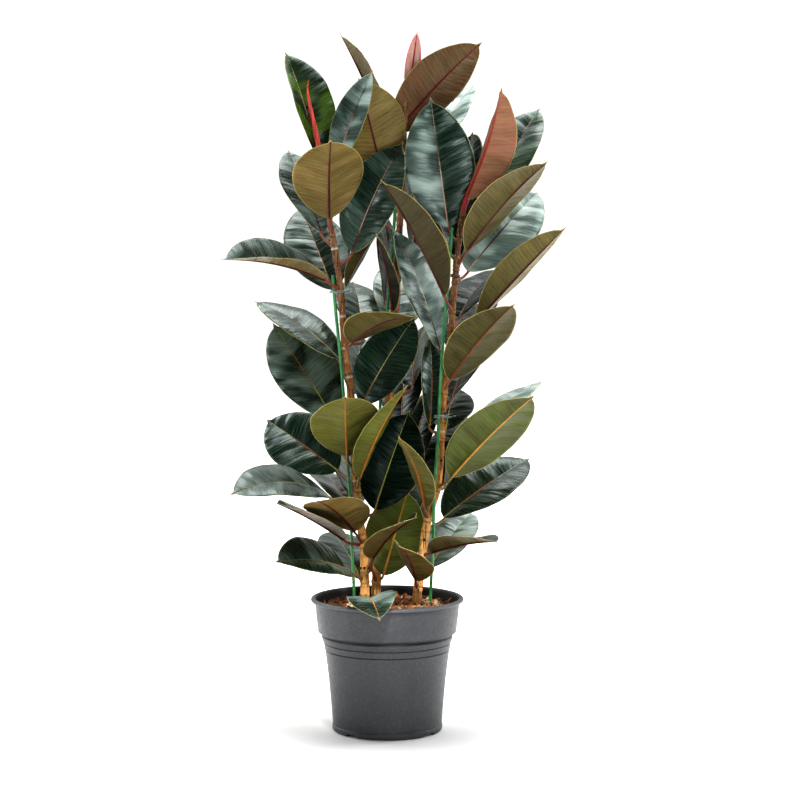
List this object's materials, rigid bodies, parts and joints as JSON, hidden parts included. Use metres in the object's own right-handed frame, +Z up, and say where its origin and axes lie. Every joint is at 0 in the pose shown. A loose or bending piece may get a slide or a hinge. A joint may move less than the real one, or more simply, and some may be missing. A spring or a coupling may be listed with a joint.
{
  "type": "potted rubber plant",
  "caption": "Indoor foliage plant with broad glossy leaves on staked woody stems, standing in bark in a grey collared nursery pot.",
  "frame": {"origin": "middle of the pot's underside, on the surface that the pot stands on", "axes": "+Z up along the pot's axis, -Y towards the plant's broad front, +X to the right of it"},
  "size_m": [0.5217, 0.4211, 1.0998],
  "materials": {
    "pot_plastic": "satin dark grey, faintly speckled",
    "bark_mulch": "rough reddish-brown chips",
    "stem_bark": "tan bark with ring scars",
    "stake_plastic": "smooth green",
    "tie_wire": "coated wire",
    "leaf_green": "glossy dark green above, dull olive below",
    "leaf_young": "silky salmon pink and rose"
  },
  "bodies": {
    "root": {"pot": "pot_plastic", "bark_soil": "bark_mulch", "stem_left": "stem_bark", "stem_centre": "stem_bark", "stem_right": "stem_bark", "stake_left": "stake_plastic", "stake_centre": "stake_plastic", "stake_right": "stake_plastic", "tie_left_upper": "tie_wire", "tie_left_lower": "tie_wire", "tie_right_upper": "tie_wire", "tie_right_lower": "tie_wire", "leaf_left_01": "leaf_green", "leaf_left_02": "leaf_green", "leaf_left_03": "leaf_green", "leaf_left_04": "leaf_green", "leaf_left_05": "leaf_green", "leaf_left_06": "leaf_green", "leaf_left_08": "leaf_green", "leaf_left_10": "leaf_green", "leaf_left_11": "leaf_green", "leaf_left_12": "leaf_green", "leaf_left_13": "leaf_green", "leaf_left_14": "leaf_green", "leaf_left_16": "leaf_green", "leaf_left_17": "leaf_green", "leaf_left_19": "leaf_green", "leaf_left_20": "leaf_green", "leaf_left_21": "leaf_green", "leaf_left_22": "leaf_green", "leaf_left_23": "leaf_green", "leaf_left_24": "leaf_green", "leaf_left_25": "leaf_green", "leaf_centre_01": "leaf_green", "leaf_centre_02": "leaf_green", "leaf_centre_09": "leaf_green", "leaf_centre_10": "leaf_green", "leaf_centre_13": "leaf_green", "leaf_centre_15": "leaf_green", "leaf_centre_16": "leaf_green", "leaf_centre_17": "leaf_green", "leaf_centre_18": "leaf_green", "leaf_centre_19": "leaf_young", "leaf_right_01": "leaf_green", "leaf_right_02": "leaf_green", "leaf_right_03": "leaf_green", "leaf_right_04": "leaf_green", "leaf_right_05": "leaf_green", "leaf_right_07": "leaf_green", "leaf_right_08": "leaf_green", "leaf_right_10": "leaf_green", "leaf_right_12": "leaf_green", "leaf_right_14": "leaf_green", "leaf_right_15": "leaf_green", "leaf_right_17": "leaf_green", "leaf_right_18": "leaf_green", "leaf_right_20": "leaf_green", "leaf_right_22": "leaf_green", "leaf_right_23": "leaf_green", "leaf_right_25": "leaf_young"}
  },
  "joints": []
}
